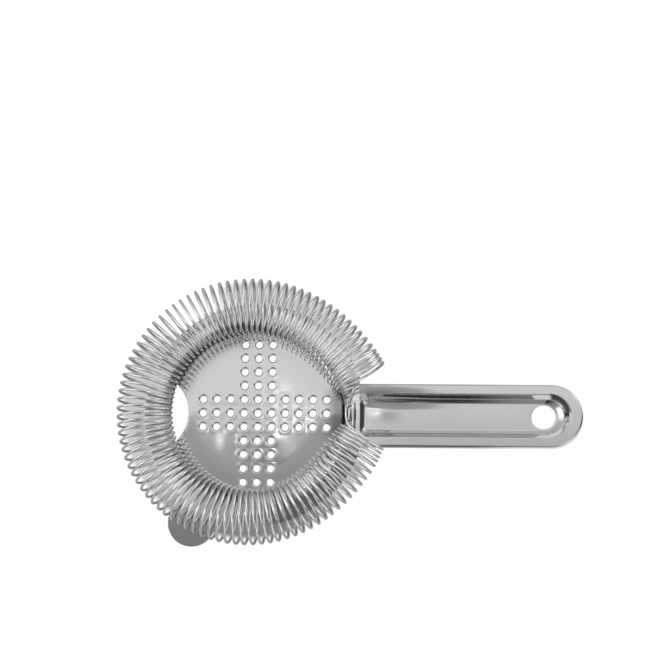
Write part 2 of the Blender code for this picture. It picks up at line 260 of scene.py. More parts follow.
def sheet_shell(shell, verts, faces, front, middle, base, flat_end=None):
    """Both faces of a pressed sheet. Returns vertex rows, and outward normals by edge and by vertex."""
    x, y = verts[:, 0], verts[:, 1]
    base_normal = upward(*slopes(base, x, y))
    if flat_end is not None:
        at_end = np.abs(x - flat_end) < 0.01
        base_normal[at_end, 0] = 0.0
        base_normal /= np.linalg.norm(base_normal, axis=1)[:, None]
    top = np.stack([x, y, front(x, y)], axis=1)
    bottom = np.stack([x, y, middle(x, y)], axis=1) - SHEET * base_normal
    top_normal = upward(*slopes(front, x, y))
    bottom_normal = -upward(*slopes(middle, x, y))
    top_row = [shell.add(p) for p in top]
    bottom_row = [shell.add(p) for p in bottom]
    edges = {}
    for a, b, c in faces.tolist():
        shell.face([top_row[i] for i in (a, b, c)], [top_normal[i] for i in (a, b, c)])
        shell.face([bottom_row[i] for i in (c, b, a)], [bottom_normal[i] for i in (c, b, a)])
        for edge in ((a, b), (b, c), (c, a)):
            if edge[::-1] in edges:
                del edges[edge[::-1]]
            else:
                edges[edge] = True
    outward = {}
    for a, b in edges:
        across = Vector((y[b] - y[a], x[a] - x[b], 0.0)).normalized()
        outward[(a, b)] = across
    at_vertex = {}
    for (a, b), across in outward.items():
        at_vertex.setdefault(a, []).append(across)
        at_vertex.setdefault(b, []).append(across)
    return top_row, bottom_row, outward, at_vertex


def corner_normal(vertex, across, at_vertex):
    """Wall normal at a boundary vertex: shared round curves, split at corners."""
    total = Vector((0.0, 0.0, 0.0))
    for other in at_vertex[vertex]:
        if other.dot(across) > 0.8:
            total += other
    return total.normalized()


def wall(shell, edge, across, top_row, bottom_row, at_vertex):
    a, b = edge
    na = corner_normal(a, across, at_vertex)
    nb = corner_normal(b, across, at_vertex)
    shell.face((top_row[b], top_row[a], bottom_row[a], bottom_row[b]), (nb, na, na, nb))


# ---------------------------------------------------------------- head plate

def cross_holes():
    for column in range(CROSS_COLUMNS[0], CROSS_COLUMNS[1] + 1):
        for row in range(CROSS_ROWS[0], CROSS_ROWS[1] + 1):
            if min(abs(column), abs(row)) <= CROSS_HALF_WIDTH:
                yield CROSS_CENTRE_X + column * HOLE_PITCH, row * HOLE_PITCH


HOLES = np.array(list(cross_holes()))
EAR = (EAR_REACH * math.cos(EAR_ANGLE), EAR_REACH * math.sin(EAR_ANGLE))
LUG_SLOT = (LUG_X + SHEET / 2 + 0.1, LUG_X + SHEET / 2 + 0.1 + LUG_SLOT_LENGTH)


def profile_table():
    """Pan height against radius, from the sheet's turning angle, scaled to the pan's height."""
    radius = np.linspace(0.0, 45.0, 9001)
    ease = np.radians(DOME_ANGLE) * np.minimum(radius / SHOULDER_RADIUS, 1.0)
    ease += np.radians(RIM_ANGLE) * smooth((radius - RIM_START) / (RIM_END - RIM_START))
    steep = smooth((radius - SHOULDER_RADIUS) / (WALL_START_RADIUS - SHOULDER_RADIUS))
    level = smooth((radius - CREASE_RADIUS + 2.0) / 2.0)
    angle = (ease + (np.radians(WALL_ANGLE) - ease) * steep) * (1.0 - level)
    step = radius[1] - radius[0]
    drop = np.cumsum(np.tan(angle)) * step
    drop *= (PAN_TOP - SHEET) / drop[-1]
    return radius, PAN_TOP - drop


PROFILE_RADIUS, PROFILE_HEIGHT = profile_table()


def pan_base(x, y):
    """Pressed pan, its flat top carried on towards the lug."""
    radius = np.hypot(x, y)
    by_lug = np.exp(-((np.arctan2(y, x) / LUG_SPREAD) ** 2))
    begun = smooth((radius - RIM_START + 3.0) / 7.0)
    ended = smooth((radius - LUG_REACH_END) / 1.6)
    carried = LUG_REACH * by_lug * begun * (1.0 - ended)
    return np.interp(radius - carried, PROFILE_RADIUS, PROFILE_HEIGHT)


def waved(z, x, y, waves):
    """Height with gentle round swells and dips added."""
    for centre_x, centre_y, reach_x, reach_y, height in waves:
        z = z + height * np.exp(-(((x - centre_x) / reach_x) ** 2) - ((y - centre_y) / reach_y) ** 2)
    return z


def nearest_hole(x, y):
    """Distance from the nearest strain hole's centre."""
    column = np.clip(np.round((x - CROSS_CENTRE_X) / HOLE_PITCH), *CROSS_COLUMNS)
    row = np.clip(np.round(y / HOLE_PITCH), *CROSS_ROWS)
    in_cross = np.minimum(np.abs(column), np.abs(row)) <= CROSS_HALF_WIDTH
    distance = np.hypot(x - CROSS_CENTRE_X - column * HOLE_PITCH, y - row * HOLE_PITCH)
    return np.where(in_cross, distance, 99.0)


def slot_distance(x, y):
    """Distance outside the crescent slot, negative within it."""
    from_outer = np.hypot(x, y) - SLOT_OUTER_RADIUS
    from_inner = np.hypot(x - SLOT_INNER_X, y) - SLOT_INNER_RADIUS
    return np.maximum(from_outer, from_inner)


def outline_distance(x, y):
    """Distance inside the blank's outline, negative beyond it."""
    in_flange = FLANGE_RADIUS - np.hypot(x, y)
    in_ear = EAR_RADIUS - np.hypot(x - EAR[0], y - EAR[1])
    return np.minimum(np.maximum(in_flange, in_ear), CHORD_X - x)


def plate_middle(x, y):
    """The sheet as pressed: pan, gentle hand-finished waves, raised hole rims, lifted slot edge."""
    z = waved(pan_base(x, y), x, y, PLATE_WAVES)
    z = z + RIM_LIFT * np.exp(-(((nearest_hole(x, y) - 1.95) / 0.42) ** 2))
    return z + SLOT_LIFT * np.exp(-((slot_distance(x, y) / 2.2) ** 2))


def rolled(distance, radius):
    """Drop of a rounded edge at a distance from it."""
    d = np.clip(distance, 0.004, radius)
    return radius - np.sqrt(np.maximum(radius**2 - (radius - d) ** 2, 0.0))


def plate_front(x, y):
    z = plate_middle(x, y)
    z = z - rolled(nearest_hole(x, y) - HOLE_RADIUS, HOLE_ROLL)
    z = z - rolled(slot_distance(x, y), SHEET_ROLL)
    return z - rolled(outline_distance(x, y), SHEET_ROLL)


def plate_outline():
    chord = math.acos(CHORD_X / FLANGE_RADIUS)
    along = (FLANGE_RADIUS**2 - EAR_RADIUS**2 + EAR_REACH**2) / (2 * EAR_REACH)
    half = math.acos(along / FLANGE_RADIUS)
    ear_half = math.pi - math.acos((EAR_REACH - along) / EAR_RADIUS)
    ear_start = 2 * math.pi + EAR_ANGLE - half
    ear = circle(*EAR, EAR_RADIUS, 60, EAR_ANGLE - ear_half, EAR_ANGLE + ear_half, closed=False)
    flange_end = 2 * math.pi - chord
    points = circle(0.0, 0.0, FLANGE_RADIUS, 170, chord, ear_start, closed=False)
    points += ear[1:-1]
    points += circle(0.0, 0.0, FLANGE_RADIUS, 80, ear_start + 2 * half, flange_end, closed=False)
    return points


def slot_outline(grow=0.0):
    outer, inner = SLOT_OUTER_RADIUS + grow, SLOT_INNER_RADIUS + grow
    reach = -SLOT_INNER_X
    corner_x = (outer**2 - inner**2 + reach**2) / (2 * reach)
    corner_y = math.sqrt(outer**2 - corner_x**2)
    outer_half = math.atan2(corner_y, corner_x)
    inner_half = math.atan2(corner_y, reach - corner_x)
    far = circle(0.0, 0.0, outer, 40, math.pi - outer_half, math.pi + outer_half, closed=False)
    near = circle(SLOT_INNER_X, 0.0, inner, 40, -inner_half, inner_half, closed=False)
    return far + near[1:-1]


def in_lug_slot(x, y, margin=0.0):
    along = (x > LUG_SLOT[0] - margin) & (x < LUG_SLOT[1] + margin)
    return along & (np.abs(y) < LUG_WIDTH / 2 + margin)


def plate_scatter():
    """Points for the triangles: rings on wall and flange, a grid on the top, fine rings at edges."""
    points = []
    for radius in np.arange(19.6, 31.0, 0.36):
        points += circle(0.0, 0.0, radius, 220)
    for radius in (31.6, 33.0, 34.5, 36.0, 36.6):
        points += circle(0.0, 0.0, radius, 150)
    for i in range(-18, 19):
        for j in range(-20, 21):
            x, y = (i + 0.5 * (j % 2)) * 1.1, j * 0.953
            if math.hypot(x, y) < 19.4:
                points.append((x, y))
    points = np.array(points)
    keep = nearest_hole(points[:, 0], points[:, 1]) > 2.42
    keep &= slot_distance(points[:, 0], points[:, 1]) > 0.45
    keep &= outline_distance(points[:, 0], points[:, 1]) > 0.4
    keep &= ~in_lug_slot(points[:, 0], points[:, 1], 0.3)
    rings = []
    for x, y in HOLES:
        for grow in (0.02, 0.07, 0.14, 0.24, 0.34, 0.42, 0.55, 0.68, 0.82, 0.98):
            rings += circle(x, y, HOLE_RADIUS + grow, HOLE_SIDES)
    for shrink in (0.02, 0.07, 0.13, 0.2):
        rings += circle(0.0, 0.0, FLANGE_RADIUS - shrink, 260)
        rings += circle(*EAR, EAR_RADIUS - shrink, 96)
        rings += slot_outline(shrink)
    rings = np.array(rings)
    fine = slot_distance(rings[:, 0], rings[:, 1]) > 0.015
    fine &= outline_distance(rings[:, 0], rings[:, 1]) > 0.015
    return points[keep].tolist() + rings[fine].tolist()


def in_plate(x, y):
    solid = (outline_distance(x, y) > -0.02) & (slot_distance(x, y) > -0.004)
    solid &= nearest_hole(x, y) > HOLE_RADIUS * math.cos(math.pi / HOLE_SIDES) - 0.004
    return solid & ~in_lug_slot(x, y)


def head_plate():
    x0, x1 = LUG_SLOT
    half = LUG_WIDTH / 2
    cut = 0.5
    holes = [circle(x, y, HOLE_RADIUS, HOLE_SIDES) for x, y in HOLES]
    holes.append(slot_outline())
    lower = [(x0, -half), (x1 - cut, -half), (x1, -half + cut)]
    holes.append(lower + [(x1, half - cut), (x1 - cut, half), (x0, half)])
    verts, faces = triangulate(plate_outline(), holes, plate_scatter(), in_plate)
    shell = Shell()
    top, bottom, outward, at_vertex = sheet_shell(
        shell, verts, faces, plate_front, plate_middle, pan_base
    )
    for edge, across in outward.items():
        wall(shell, edge, across, top, bottom, at_vertex)
    return shell.build("head_plate_sheet")


def bent_lug():
    """Tongue lanced from the flange and bent up to hold the spring's ends."""
    bend = 0.75
    dome = 0.3
    back = LUG_X + SHEET / 2
    path = [(back - bend - 1.2, SHEET / 2, 0.0), (back - bend - 0.6, SHEET / 2, 0.0)]
    for i in range(9):
        turn = math.pi / 2 * i / 8
        x = LUG_X - LUG_TURN + LUG_TURN * math.sin(turn)
        path.append((x, SHEET / 2 + LUG_TURN - LUG_TURN * math.cos(turn), turn))
    path += [(LUG_X, z, math.pi / 2) for z in (1.8, 2.6, 3.4, LUG_TOP - dome)]
    rings = [(x, z, turn, 0.0) for x, z, turn in path]
    for i in range(1, 5):
        a = math.pi / 2 * i / 4
        top = LUG_TOP - dome + dome * math.sin(a)
        rings.append((LUG_X, top, math.pi / 2, dome - dome * math.cos(a)))
    bm = bmesh.new()
    rows = []
    for x, z, turn, inset in rings:
        row = []
        for y, t in rounded_section(LUG_WIDTH / 2 - inset, SHEET / 2 - inset):
            out, up = x - t * math.sin(turn), z + t * math.cos(turn)
            row.append(bm.verts.new((out * MM, y * MM, up * MM)))
        rows.append(row)
    for lower, upper in zip(rows, rows[1:]):
        for i in range(len(lower)):
            j = (i + 1) % len(lower)
            bm.faces.new((lower[i], lower[j], upper[j], upper[i]))
    bm.faces.new(rows[0])
    bm.faces.new(rows[-1])
    bmesh.ops.recalc_face_normals(bm, faces=bm.faces)
    mesh = bpy.data.meshes.new("spring_lug")
    bm.to_mesh(mesh)
    bm.free()
    mesh.shade_smooth()
    mesh.set_sharp_from_angle(angle=math.radians(50))
    return placed(mesh)


def rounded_section(half_width, half_thick):
    """Cross-section of a strip with rounded edges."""
    r = min(SHEET_ROLL, half_thick * 0.9)
    width, thick = half_width - r, half_thick - r
    points = []
    for sx, sy, start in ((1, 1, 0.0), (-1, 1, 0.5), (-1, -1, 1.0), (1, -1, 1.5)):
        for i in range(4):
            a = math.pi * (start + 0.5 * i / 3)
            points.append((sx * width + r * math.cos(a), sy * thick + r * math.sin(a)))
    return points


# ---------------------------------------------------------------- handle

def tray_distance(x, y, start, half, round_x, corner):
    """Signed distance from a tray outline: square with soft corners at the start, round at the end."""
    y = np.abs(y)
    side = y - half
    left = start - x
    in_corner = (left > -corner) & (side > -corner)
    corner_distance = np.hypot(left + corner, side + corner) - corner
    straight = np.where(in_corner, corner_distance, np.maximum(left, side))
    return np.where(x > round_x, np.hypot(x - round_x, y) - half, straight)


def channel_shape(t):
    """The channel's outline at a height between its floor and its lip."""
    return [a + (b - a) * t for a, b in zip(CHANNEL_FLOOR, CHANNEL_LIP)]


def channel_part(x, y):
    """How far up the channel's wall a point lies: 0 at the floor's edge, 1 at the lip."""
    low, high = np.zeros_like(x), np.ones_like(x)
    for _ in range(22):
        t = (low + high) / 2
        outside = tray_distance(x, y, *channel_shape(t)) > 0
        low, high = np.where(outside, t, low), np.where(outside, high, t)
    return (low + high) / 2


# The wall's rise: a gentle lower strip, a steep upper strip, and a turn over into the lip.
WALL_T = np.linspace(0.0, 1.0, 801)
WALL_STRIPS = 0.35 * smooth(WALL_T / 0.2) + 0.65 * smooth((WALL_T - 0.38) / 0.2)
WALL_SLOPE = WALL_STRIPS * smooth((1.0 - WALL_T) / 0.14)
WALL_RISE = np.cumsum(WALL_SLOPE) / WALL_SLOPE.sum()


def handle_base(x, y):
    rise = np.interp(channel_part(x, y), WALL_T, WALL_RISE)
    return FLOOR_TOP + (SHEET - FLOOR_TOP) * rise


def handle_middle(x, y):
    """The channel as bent: it dips and swells a little near the head."""
    return waved(handle_base(x, y), x, y, HANDLE_WAVES)


def hang_distance(x, y):
    return np.hypot(x - HANG_HOLE_X, y) - HANG_HOLE_RADIUS


def handle_front(x, y):
    return handle_middle(x, y) - rolled(hang_distance(x, y), HANG_HOLE_ROLL)


def in_handle(x, y):
    round_x = HANDLE_END - HANDLE_HALF_WIDTH
    half = HANDLE_HALF_WIDTH - EDGE_ROUND
    inside = tray_distance(x, y, CHORD_X + 0.02, half, round_x, 0.001) < 0.02
    return inside & (hang_distance(x, y) > -0.02)


def tray_loop(shape, spacing, ends):
    """Points round one level of the channel."""
    start, half, round_x, corner = shape
    length = round_x - start - corner
    steps = int(length / spacing)
    points = [(start + corner + length * i / steps, -half) for i in range(steps)]
    points += circle(round_x, 0.0, half, ends, -math.pi / 2, math.pi / 2, closed=False)
    points += [(start + corner + length * i / steps, half) for i in range(steps - 1, 0, -1)]
    points += circle(start + corner, half - corner, corner, 8, math.pi / 2, math.pi, closed=False)
    points += [(start, (half - corner) * (1 - i / 4)) for i in range(1, 8)]
    points += circle(start + corner, corner - half, corner, 8, math.pi, 1.5 * math.pi, closed=False)
    return points


def handle():
    start = CHORD_X + 0.02
    half = HANDLE_HALF_WIDTH - EDGE_ROUND
    round_x = HANDLE_END - HANDLE_HALF_WIDTH
    steps = 44
    outline = [(start + (round_x - start) * i / steps, -half) for i in range(steps)]
    outline += circle(round_x, 0.0, half, 48, -math.pi / 2, math.pi / 2, closed=False)
    outline += [(start + (round_x - start) * i / steps, half) for i in range(steps - 1, -1, -1)]
    outline += [(start, half * (1 - i / 18)) for i in range(1, 36)]
    loops = [circle(HANG_HOLE_X, 0.0, HANG_HOLE_RADIUS, 64)]
    for t in np.linspace(0.0, 1.0, 25):
        loops.append(tray_loop(channel_shape(t), 0.9, 48))
    for grow in (0.02, 0.06, 0.12, 0.18):
        loops.append(circle(HANG_HOLE_X, 0.0, HANG_HOLE_RADIUS + grow, 64))
    scattered = []
    for x in np.arange(37.5, 91.5, 0.9):
        scattered += [(x, y) for y in (-4.2, -3.2, -2.1, -1.0, 0.0, 1.0, 2.1, 3.2, 4.2)]
    for x in np.arange(37.5, 98.0, 0.9):
        scattered += [(x, y) for y in (-8.6, -7.7, 7.7, 8.6)]
    verts, faces = triangulate(outline, loops, scattered, in_handle)
    shell = Shell()
    top, bottom, outward, at_vertex = sheet_shell(
        shell, verts, faces, handle_front, handle_middle, handle_base, flat_end=start
    )
    add_skirt(shell, verts, top, bottom, outward, at_vertex, start)
    return shell.build("handle_sheet")


def skirt_profile():
    """Outward offset, height and normal of the turned-down edge, from its front round to its back."""
    centre = SHEET - EDGE_ROUND
    inner = EDGE_ROUND - SHEET
    rows = []
    for i in range(1, 11):
        a = math.pi / 2 * i / 10
        out, up = math.sin(a), math.cos(a)
        rows.append((EDGE_ROUND * out, centre + EDGE_ROUND * up, out, up))
    lip = 0.2
    for i in range(5):
        a = math.pi / 2 * i / 4
        out, down = math.cos(a), math.sin(a)
        rows.append((EDGE_ROUND - lip + lip * out, SKIRT_BOTTOM + lip - lip * down, out, -down))
    for i in range(5):
        a = math.pi / 2 * i / 4
        out, down = math.sin(a), math.cos(a)
        rows.append((inner + lip - lip * out, SKIRT_BOTTOM + lip - lip * down, -out, -down))
    for i in range(6):
        a = math.pi / 2 * (1 - i / 6)
        rows.append((inner * math.sin(a), centre + inner * math.cos(a), -math.sin(a), -math.cos(a)))
    return rows


def add_skirt(shell, verts, top, bottom, outward, at_vertex, start):
    """Turned-down edge round the handle, plain walls in the hanging hole and across the front."""
    profile = skirt_profile()
    rows = {}

    def column(vertex, direction):
        if vertex not in rows:
            x, y = verts[vertex]
            points = [top[vertex]]
            normals = [Vector((0.0, 0.0, 1.0))]
            for out, z, n_out, n_up in profile:
                points.append(shell.add((x + direction.x * out, y + direction.y * out, z)))
                normals.append(Vector((direction.x * n_out, direction.y * n_out, n_up)))
            points.append(bottom[vertex])
            normals.append(Vector((0.0, 0.0, -1.0)))
            rows[vertex] = (points, normals)
        return rows[vertex]

    for (a, b), across in outward.items():
        middle_x = (verts[a][0] + verts[b][0]) / 2
        middle_y = (verts[a][1] + verts[b][1]) / 2
        in_hole = hang_distance(middle_x, middle_y) < 0.2
        if in_hole or middle_x < start + 0.01:
            wall(shell, (a, b), across, top, bottom, at_vertex)
            continue
        pa, na = column(a, corner_normal(a, across, at_vertex))
        pb, nb = column(b, corner_normal(b, across, at_vertex))
        for k in range(len(pa) - 1):
            shell.face((pb[k], pa[k], pa[k + 1], pb[k + 1]), (nb[k], na[k], na[k + 1], nb[k + 1]))
    for vertex, (points, _) in rows.items():
        if verts[vertex][0] < start + 0.01:
            order = points if verts[vertex][1] > 0 else points[::-1]
            shell.face(order, [Vector((-1.0, 0.0, 0.0))] * len(order))


def rounded_tab():
    """Flat tab that laps behind the flange and runs into the channel's front wall."""
    bm = bmesh.new()
    corner = 2.5
    inner_x = TAB_START + corner
    inner_y = TAB_HALF_WIDTH - corner
    outline = [(CHANNEL_FLOOR[0] - 0.7, y) for y in (-TAB_HALF_WIDTH, TAB_HALF_WIDTH)]
    outline += circle(inner_x, inner_y, corner, 8, math.pi / 2, math.pi, closed=False)
    outline += circle(inner_x, -inner_y, corner, 8, math.pi, 1.5 * math.pi, closed=False)
    low = [bm.verts.new((x * MM, y * MM, (-GAP - SHEET) * MM)) for x, y in outline]
    face = bm.faces.new(low)
    grown = bmesh.ops.extrude_face_region(bm, geom=[face])["geom"]
    lifted = [item for item in grown if isinstance(item, bmesh.types.BMVert)]
    bmesh.ops.translate(bm, verts=lifted, vec=(0.0, 0.0, SHEET * MM))
    bmesh.ops.recalc_face_normals(bm, faces=bm.faces)
    rim = [edge for edge in bm.edges if abs(edge.verts[0].co.z - edge.verts[1].co.z) < 1e-7]
    bmesh.ops.bevel(bm, geom=rim, offset=0.15 * MM, segments=3, affect="EDGES", profile=0.5)
    mesh = bpy.data.meshes.new("handle_tab")
    bm.to_mesh(mesh)
    bm.free()
    mesh.shade_smooth()
    mesh.set_sharp_from_angle(angle=math.radians(35))
    return placed(mesh)


# ---------------------------------------------------------------- coil spring

def ring_point(angle):
    """Place on the coil's bent centre line."""
    side = 0 if angle < math.pi else 1
    off_axis = min(angle, 2 * math.pi - angle)
    flare = max(0.0, (FLARE_ANGLE - off_axis) / (FLARE_ANGLE - RING_END_ANGLES[side]))
    radius = RING_RADIUS + FLARES[side] * flare ** FLARE_POWERS[side]
    return RING_CENTRE_X + radius * math.cos(angle), radius * math.sin(angle)


def helix_points(per_turn=34):
    """The coil's wire, with the slight unevenness of a hand-bent spring."""
    span = 2 * math.pi - sum(RING_END_ANGLES)
    angles = [RING_END_ANGLES[0] + span * i / 1440 for i in range(1441)]
    ring = np.array([ring_point(a) for a in angles])
    lengths = np.concatenate([[0.0], np.cumsum(np.hypot(*np.diff(ring, axis=0).T))])
    total = lengths[-1]
    close = CLOSE_TURNS * CLOSE_PITCH
    open_pitch = (total - 2 * close) / (TURNS - 2 * CLOSE_TURNS)
    generator = np.random.default_rng(11)
    drift = np.concatenate([np.zeros(5), generator.normal(0.0, 1.0, TURNS - 9), np.zeros(5)])
    points = []
    for i in range(TURNS * per_turn + 1):
        turn = i / per_turn
        if turn < CLOSE_TURNS:
            length = turn * CLOSE_PITCH
        elif turn > TURNS - CLOSE_TURNS:
            length = total - (TURNS - turn) * CLOSE_PITCH
        else:
            length = close + (turn - CLOSE_TURNS) * open_pitch
        length += COIL_DRIFT * float(np.interp(turn, range(TURNS + 1), drift))
        here = float(np.interp(length, lengths, angles))
        x, y = ring_point(here)
        ahead, behind = ring_point(here + 0.001), ring_point(here - 0.001)
        heading = math.atan2(ahead[1] - behind[1], ahead[0] - behind[0])
        out = (math.sin(heading), -math.cos(heading))
        roll = LOOP_START_ANGLE - 2 * math.pi * turn
        near_end = float(smooth((turn - TURNS + END_LOOP_TURNS) / END_LOOP_TURNS))
        size = LOOP_RADIUS - END_LOOP_SHRINK * near_end
        reach = size * math.cos(roll)
        points.append((x + reach * out[0], y + reach * out[1], RING_HEIGHT + size * math.sin(roll)))
    return points


def hook_points(side, level):
    """The wire's tail and its turn round the lug."""
    near, far = LUG_X - HOOK_GAP, LUG_X + HOOK_GAP
    turn_y = -side * (LUG_WIDTH / 2 + 0.1)
    points = [(far, side * HOOK_TAIL * (1 - i / 6), level) for i in range(6)]
    for i in range(15):
        a = -side * math.pi * i / 14
        points.append((LUG_X + HOOK_GAP * math.cos(a), turn_y + HOOK_GAP * math.sin(a), level))
    points += [(near, turn_y * (1 - i / 3), level) for i in range(1, 4)]
    return points


def bridge(hook, side, target):
    """Wire that leaves the hook and rises smoothly into the first loop."""
    start = Vector(hook[-1])
    first, second = Vector(target[0]), Vector(target[1])
    reach = (first - start).length
    leave = start + Vector((0.0, side, 0.0)) * reach * 0.45
    arrive = first - (second - first).normalized() * reach * 0.3
    points = []
    for i in range(1, 16):
        t = i / 16
        u = 1 - t
        place = u**3 * start + 3 * u**2 * t * leave + 3 * u * t * t * arrive + t**3 * first
        points.append(tuple(place))
    return points


def sweep(name, points, radius, sides):
    """Round wire along a path, with lengthwise UVs and domed ends."""
    path = [Vector(p) for p in points]
    tangents = []
    for i in range(len(path)):
        a, b = path[max(i - 1, 0)], path[min(i + 1, len(path) - 1)]
        tangents.append((b - a).normalized())
    across = tangents[0].cross(Vector((0.0, 0.0, 1.0))).normalized()
    stations = []
    for i, (point, tangent) in enumerate(zip(path, tangents)):
        across = (across - tangent * across.dot(tangent)).normalized()
        stations.append((point, tangent, across, radius))
    for sign, base in ((-1, stations[0]), (1, stations[-1])):
        point, tangent, frame_x, _ = base
        caps = []
        for i in range(1, 4):
            a = math.pi / 2 * i / 3.2
            beyond = point + tangent * sign * radius * math.sin(a)
            caps.append((beyond, tangent, frame_x, radius * math.cos(a)))
        stations = caps[::-1] + stations if sign < 0 else stations + caps
    verts = []
    for point, tangent, frame_x, size in stations:
        frame_y = tangent.cross(frame_x)
        for k in range(sides):
            a = 2 * math.pi * k / sides
            verts.append((point + (frame_x * math.cos(a) + frame_y * math.sin(a)) * size) * MM)
    faces = []
    for i in range(len(stations) - 1):
        for k in range(sides):
            j = (k + 1) % sides
            faces.append((i * sides + k, i * sides + j, (i + 1) * sides + j, (i + 1) * sides + k))
    last = (len(stations) - 1) * sides
    faces.append(tuple(range(sides - 1, -1, -1)))
    faces.append(tuple(range(last, last + sides)))
    mesh = bpy.data.meshes.new(name)
    mesh.from_pydata(verts, [], faces)
    mesh.shade_smooth()
    layer = mesh.uv_layers.new(name="along_wire")
    lengths = [0.0]
    for a, b in zip(stations, stations[1:]):
        lengths.append(lengths[-1] + (b[0] - a[0]).length)
    for polygon in mesh.polygons:
        wraps = any(mesh.loops[i].vertex_index % sides == sides - 1 for i in polygon.loop_indices)
        for i in polygon.loop_indices:
            vertex = mesh.loops[i].vertex_index
            k = vertex % sides
            if wraps and k == 0:
                k = sides
            layer.data[i].uv = (lengths[vertex // sides], k / sides)
    mesh.update()
    return placed(mesh)


def coil_spring():
    helix = helix_points()
    first = hook_points(1, HOOK_LEVELS[0])
    last = hook_points(-1, HOOK_LEVELS[1])
    points = first + bridge(first, 1, helix)
    points += helix
    closing = last + bridge(last, -1, helix[::-1])
    points += closing[::-1]
    return sweep("coil_spring_wire", points, WIRE_RADIUS, sides=12)


# ---------------------------------------------------------------- materials

# Zones of painted shade, standing in for shade in the crease and under the coil and for dark
# reflections:
# they darken the steel's colour and raise its roughness. Each has its ring's centre along X in mm,
# its direction in degrees, the cosines where it starts and is full, its depth, and its ring in mm.
PLATE_PAINTED_SHADE_ZONES = (
    (0.0, 118.0, 0.45, 0.8, 0.8, (26.4, 27.4, 30.8, 32.2)),
    (0.0, 130.0, 0.76, 0.9, 0.22, (20.5, 25.0, 28.0, 29.0)),
    (0.0, 205.0, 0.3, 0.7, 0.5, (26.0, 27.0, 28.8, 30.4)),
    (0.0, 312.0, 0.74, 0.92, 0.7, (30.0, 32.0, 38.0, 40.0)),
    (0.0, 0.0, 0.93, 0.985, 0.55, (23.0, 28.5, 31.0, 32.0)),
    (0.0, 240.5, 0.9, 0.97, 0.4, (37.0, 41.0, 50.0, 52.0)),
)
HANDLE_PAINTED_SHADE_ZONES = (
    (CHANNEL_LIP[2], 48.0, 0.72, 0.86, 0.86, (5.5, 6.0, 7.3, 7.6)),
)
# The length in m that a ramp from 0 to 1 covers.
PAINTED_SHADE_SCALE = 0.1


def node(tree, kind, settings=None, **inputs):
    """Adds a node. Inputs are values or sockets, by name with underscores, or by number as i0, i1."""
    made = tree.nodes.new(kind)
    for key, value in (settings or {}).items():
        setattr(made, key, value)
    for key, value in inputs.items():
        numbered = key[0] == "i" and key[1:].isdigit()
        socket = made.inputs[int(key[1:]) if numbered else key.replace("_", " ")]
        if isinstance(value, bpy.types.NodeSocket):
            tree.links.new(value, socket)
        else:
            socket.default_value = value
    return made


def math_node(tree, operation, a, b=0.0):
    return node(tree, "ShaderNodeMath", {"operation": operation}, i0=a, i1=b).outputs[0]


def vector_math(tree, operation, a, b):
    return node(tree, "ShaderNodeVectorMath", {"operation": operation}, i0=a, i1=b).outputs[0]


def vector_length(tree, vector):
    return node(tree, "ShaderNodeVectorMath", {"operation": "LENGTH"}, i0=vector).outputs["Value"]


def dot_product(tree, a, b):
    return node(tree, "ShaderNodeVectorMath", {"operation": "DOT_PRODUCT"}, i0=a, i1=b).outputs["Value"]


def multiply_add(tree, a, b, c):
    return node(tree, "ShaderNodeMath", {"operation": "MULTIPLY_ADD"}, i0=a, i1=b, i2=c).outputs[0]


def mix_floats(tree, share, a, b):
    return node(tree, "ShaderNodeMix", {"data_type": "FLOAT"}, i0=share, i2=a, i3=b).outputs[0]


def ramp(tree, value, stops, interpolation="LINEAR"):
    """Grey level against a value from 0 to 1, through the stops."""
    made = node(tree, "ShaderNodeValToRGB", Fac=value)
    made.color_ramp.interpolation = interpolation
    elements = made.color_ramp.elements
    while len(elements) > 1:
        elements.remove(elements[-1])
    elements[0].position = stops[0][0]
    elements[0].color = (*[stops[0][1]] * 3, 1.0)
    for position, level in stops[1:]:
        element = elements.new(position)
        element.color = (level, level, level, 1.0)
    return made.outputs["Color"]


def noise_node(tree, coordinates, scale, detail, roughness):
    made = node(
        tree, "ShaderNodeTexNoise", Vector=coordinates, Scale=scale, Detail=detail, Roughness=roughness
    )
    return made.outputs["Fac"]


def scratches(tree, coordinates, turn, stretch, amount):
    """Fine lines in one direction: noise drawn out along an axis, cut to its peaks."""
    turned = (0.0, 0.0, turn)
    mapped = node(tree, "ShaderNodeMapping", Vector=coordinates, Rotation=turned, Scale=stretch)
    noise = noise_node(tree, mapped.outputs[0], 1.0, 3.0, 0.6)
    return ramp(tree, noise, [(0.0, 0.0), (1.0 - amount, 0.0), (1.0, 1.0)])


def painted_zone_shade(tree, place, zones):
    """How deep the painted shade is at each place on the steel, as the deepest of its zones."""
    total = 0.0
    ring_shares = (0.0, 1.0, 1.0, 0.0)
    for centre_x, angle, start, full, depth, edges in zones:
        moved = vector_math(tree, "SUBTRACT", place, (centre_x * MM, 0.0, 0.0))
        flat = vector_math(tree, "MULTIPLY", moved, (1.0 / PAINTED_SHADE_SCALE, 1.0 / PAINTED_SHADE_SCALE, 0.0))
        reach = vector_length(tree, flat)
        cosine = math_node(tree, "DIVIDE", dot_product(tree, flat, spherical(angle, 0.0)), reach)
        facing = ramp(tree, cosine, [(0.0, 0.0), (start, 0.0), (full, depth)], "EASE")
        stops = [(edge * MM / PAINTED_SHADE_SCALE, share) for edge, share in zip(edges, ring_shares)]
        ring = ramp(tree, reach, stops, "EASE")
        total = math_node(tree, "MAXIMUM", total, math_node(tree, "MULTIPLY", facing, ring))
    return total


